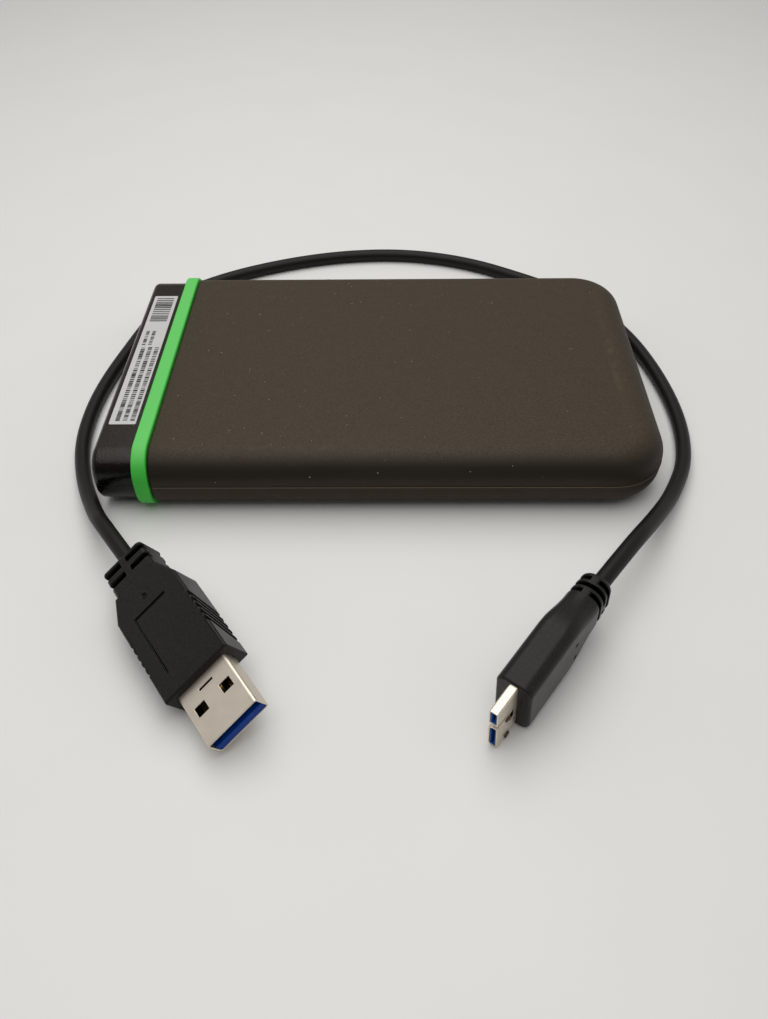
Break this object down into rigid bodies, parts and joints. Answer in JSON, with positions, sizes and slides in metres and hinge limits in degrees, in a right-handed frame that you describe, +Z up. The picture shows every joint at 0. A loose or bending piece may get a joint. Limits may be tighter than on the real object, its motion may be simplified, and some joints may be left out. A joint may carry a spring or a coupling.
{
  "type": "portable external hard drive",
  "caption": "Flat portable external hard drive in a soft sleeve with a bright band round its port end, with its detachable lead and moulded plugs lying round it.",
  "frame": {"origin": "under the middle of the drive, at the height of its lowest point, on the table", "axes": "+X along the drive from its port end to its closed end, +Y towards its back, +Z up out of its label side"},
  "size_m": [0.1533, 0.1801, 0.0163],
  "materials": {
    "silicone_sleeve": "matte",
    "green_silicone": "satin",
    "case_abs": "fine grain",
    "label_stock": "satin",
    "nickel_plate": "satin",
    "stainless_steel": "brushed",
    "blue_insulator": "satin",
    "black_insulator": "satin",
    "gold_plate": "polished",
    "lead_pvc": "satin",
    "plug_pvc": "satin",
    "clear_polycarbonate": "gloss",
    "circuit_board": "satin",
    "chip_epoxy": "matte",
    "cast_aluminium": "cast",
    "machined_aluminium": "machined",
    "polished_disc": "mirror",
    "copper_winding": "enamelled",
    "screw_steel": "plated",
    "bumper_rubber": "matte",
    "ramp_acetal": "satin"
  },
  "bodies": {
    "case": {"band": "green_silicone", "board_chips": "chip_epoxy", "board_screws": "screw_steel", "bridge_board": "circuit_board", "bridge_chips": "chip_epoxy", "bridge_screws": "screw_steel", "cable": "lead_pvc", "case_lower": "case_abs", "case_screws": "screw_steel", "case_upper": "case_abs", "cover_screws": "screw_steel", "hdd_base": "cast_aluminium", "hdd_board": "circuit_board", "hdd_bumpers": "bumper_rubber", "hdd_cover": "stainless_steel", "label": "label_stock", "led": "clear_polycarbonate", "light_pipe": "clear_polycarbonate", "magnet": "stainless_steel", "magnet_yokes": "stainless_steel", "micro_b_contacts": "gold_plate", "micro_b_latches": "nickel_plate", "micro_b_overmould": "plug_pvc", "micro_b_shell": "nickel_plate", "micro_b_tongue": "blue_insulator", "pivot_post": "stainless_steel", "port_contacts": "gold_plate", "port_shell": "nickel_plate", "port_tongue": "blue_insulator", "ramp": "ramp_acetal", "sata_plug": "black_insulator", "sata_socket": "black_insulator", "sleeve": "silicone_sleeve", "spindle_bearing": "stainless_steel", "spindle_stator": "copper_winding", "usb_a_contacts": "gold_plate", "usb_a_overmould": "plug_pvc", "usb_a_shell": "nickel_plate", "usb_a_tongue": "blue_insulator"},
    "disc_stack": {"platter": "polished_disc", "spindle_hub": "machined_aluminium", "disc_clamp": "machined_aluminium", "clamp_screw": "screw_steel"},
    "actuator": {"actuator_arm": "machined_aluminium", "voice_coil": "copper_winding", "suspensions": "stainless_steel", "head_sliders": "chip_epoxy"}
  },
  "joints": [
    {"name": "disc_spin", "type": "hinge", "parent": "case", "child": "disc_stack", "pos_m": [0.02273, 0, 0.00875], "axis": [0, 0, 1], "continuous": true},
    {"name": "actuator_swing", "type": "hinge", "parent": "case", "child": "actuator", "pos_m": [-0.01326, -0.01218, 0.00915], "axis": [0, 0, 1], "range_deg": [-32.8, 0]}
  ]
}
